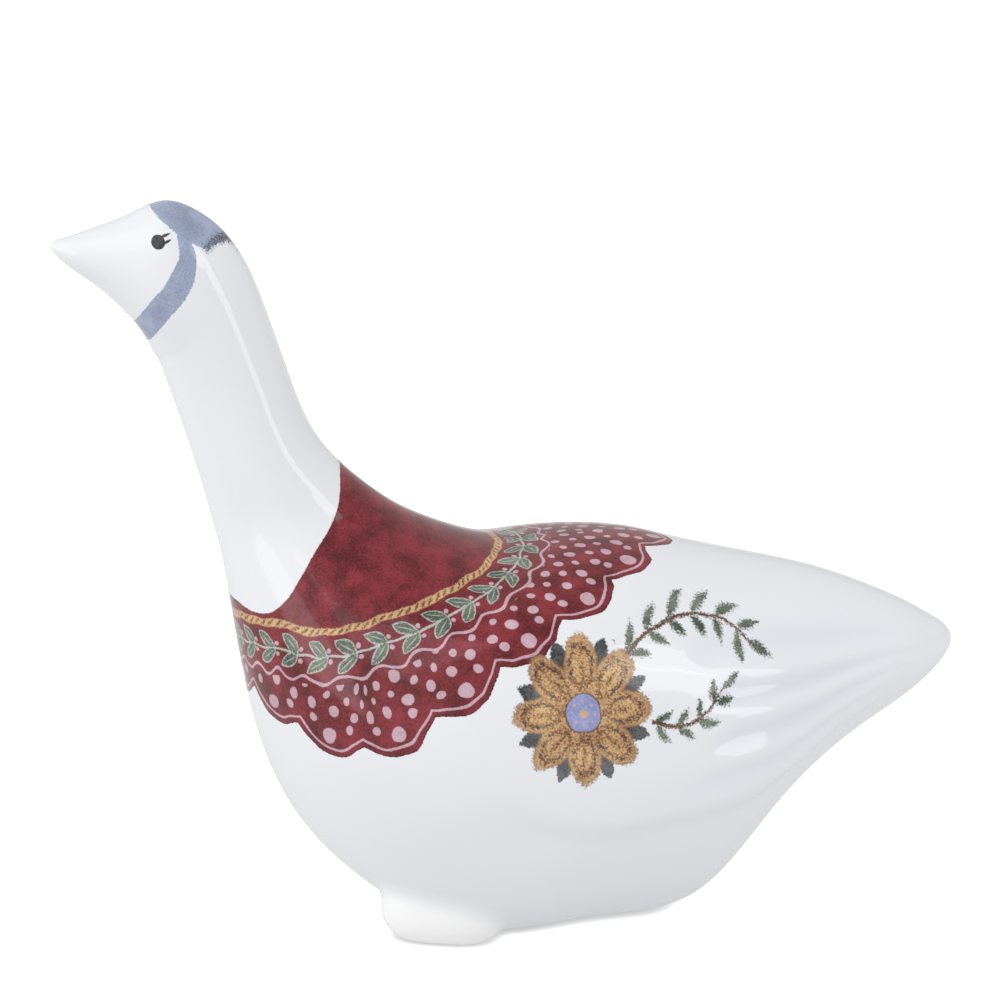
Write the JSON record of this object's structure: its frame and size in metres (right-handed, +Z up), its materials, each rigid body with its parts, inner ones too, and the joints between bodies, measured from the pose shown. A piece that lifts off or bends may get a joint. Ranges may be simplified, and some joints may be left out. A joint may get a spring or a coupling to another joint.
{
  "type": "goose figurine",
  "caption": "Standing goose of glazed porcelain with an outstretched neck, fluted wing feathers and webbed feet, to set on a shelf as an ornament.",
  "frame": {"origin": "on the surface that it stands on, under the middle of its length and width", "axes": "+Z up; the goose faces -X; +Y is to its right, and its left and right sides are alike"},
  "size_m": [0.098, 0.0462, 0.08],
  "materials": {
    "glazed_porcelain": "white porcelain under a clear gloss glaze, with a painted red cape and folk rosettes"
  },
  "bodies": {
    "root": {"goose_figurine": "glazed_porcelain"}
  },
  "joints": []
}
